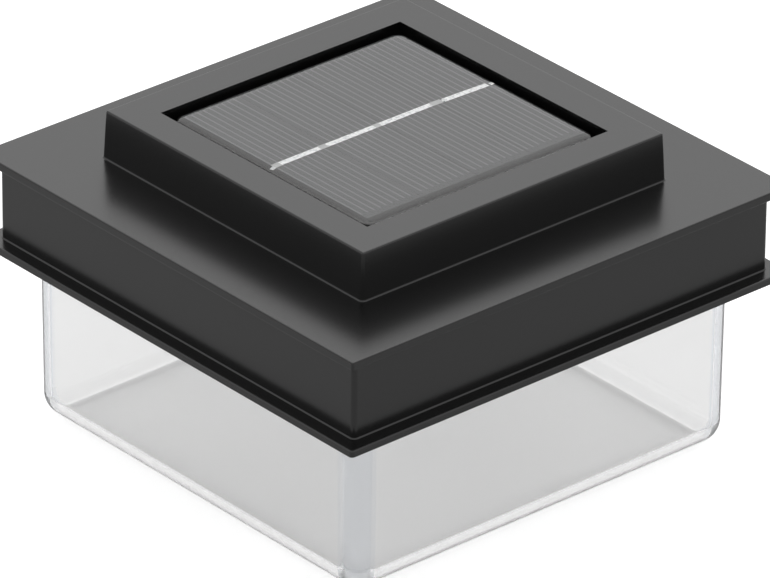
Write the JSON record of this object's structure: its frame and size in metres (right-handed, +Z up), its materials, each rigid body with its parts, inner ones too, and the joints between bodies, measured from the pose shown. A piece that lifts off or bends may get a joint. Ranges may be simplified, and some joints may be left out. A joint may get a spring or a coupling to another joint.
{
  "type": "solar ground light",
  "caption": "Square solar ground light: a stepped black cap with a sunk solar panel lifts off a clear square cup.",
  "frame": {"origin": "centre of the cup's flat resting face", "axes": "+Z up along the axis of the light; the row of solar cells runs along Y; the battery lies along X on the +Y side"},
  "size_m": [0.1164, 0.1164, 0.0698],
  "materials": {
    "clear_plastic": "clear moulded plastic, polished",
    "cover_abs": "black moulded plastic, satin",
    "base_abs": "black moulded plastic, satin",
    "seal_rubber": "soft black rubber",
    "screw_steel": "zinc plated steel",
    "adhesive": "soft white adhesive sheet",
    "back_board": "dark fibre board",
    "silicon": "grey silicon with printed silver fingers",
    "tinned_copper": "tinned copper ribbon",
    "clear_resin": "clear cast resin",
    "green_board": "green lacquered fibre board",
    "chip_plastic": "black moulded package",
    "coil_lacquer": "green lacquered coil",
    "lamp_resin": "clear moulded lamp",
    "metallised": "vacuum metallised plastic",
    "plated_steel": "nickel plated spring steel",
    "knob_plastic": "black moulded plastic",
    "battery_metal": "plated can, filled with the cell's contents",
    "sleeve_film": "plain green shrink film",
    "red_pvc": "red wire insulation",
    "black_pvc": "black wire insulation"
  },
  "bodies": {
    "cup": {"clear_cup": "clear_plastic"},
    "cap": {"top_cover": "cover_abs", "base_plate": "base_abs", "cover_seal": "seal_rubber", "cover_screws": "screw_steel", "panel_adhesive": "adhesive", "panel_board": "back_board", "solar_cells": "silicon", "busbar_ribbons": "tinned_copper", "panel_resin": "clear_resin", "circuit_board": "green_board", "board_screws": "screw_steel", "driver_chip": "chip_plastic", "inductor": "coil_lacquer", "led": "lamp_resin", "reflector": "metallised", "switch_can": "plated_steel", "battery_can": "battery_metal", "battery_sleeve": "sleeve_film", "battery_spring": "plated_steel", "spring_plate": "plated_steel", "contact_plate": "plated_steel", "panel_wire_red": "red_pvc", "panel_wire_black": "black_pvc", "battery_wire_red": "red_pvc", "battery_wire_black": "black_pvc"},
    "knob": {"switch_knob": "knob_plastic"},
    "door": {"battery_door": "base_abs", "door_seal": "seal_rubber", "door_screws": "screw_steel"}
  },
  "joints": [
    {"name": "cap_lift", "type": "slide", "parent": "cup", "child": "cap", "axis": [0, 0, 1], "range_m": [0, 0.06]},
    {"name": "switch_slide", "type": "slide", "parent": "cap", "child": "knob", "axis": [0, 1, 0], "range_m": [0, 0.002]},
    {"name": "door_drop", "type": "slide", "parent": "cap", "child": "door", "axis": [0, 0, -1], "range_m": [0, 0.02]}
  ]
}
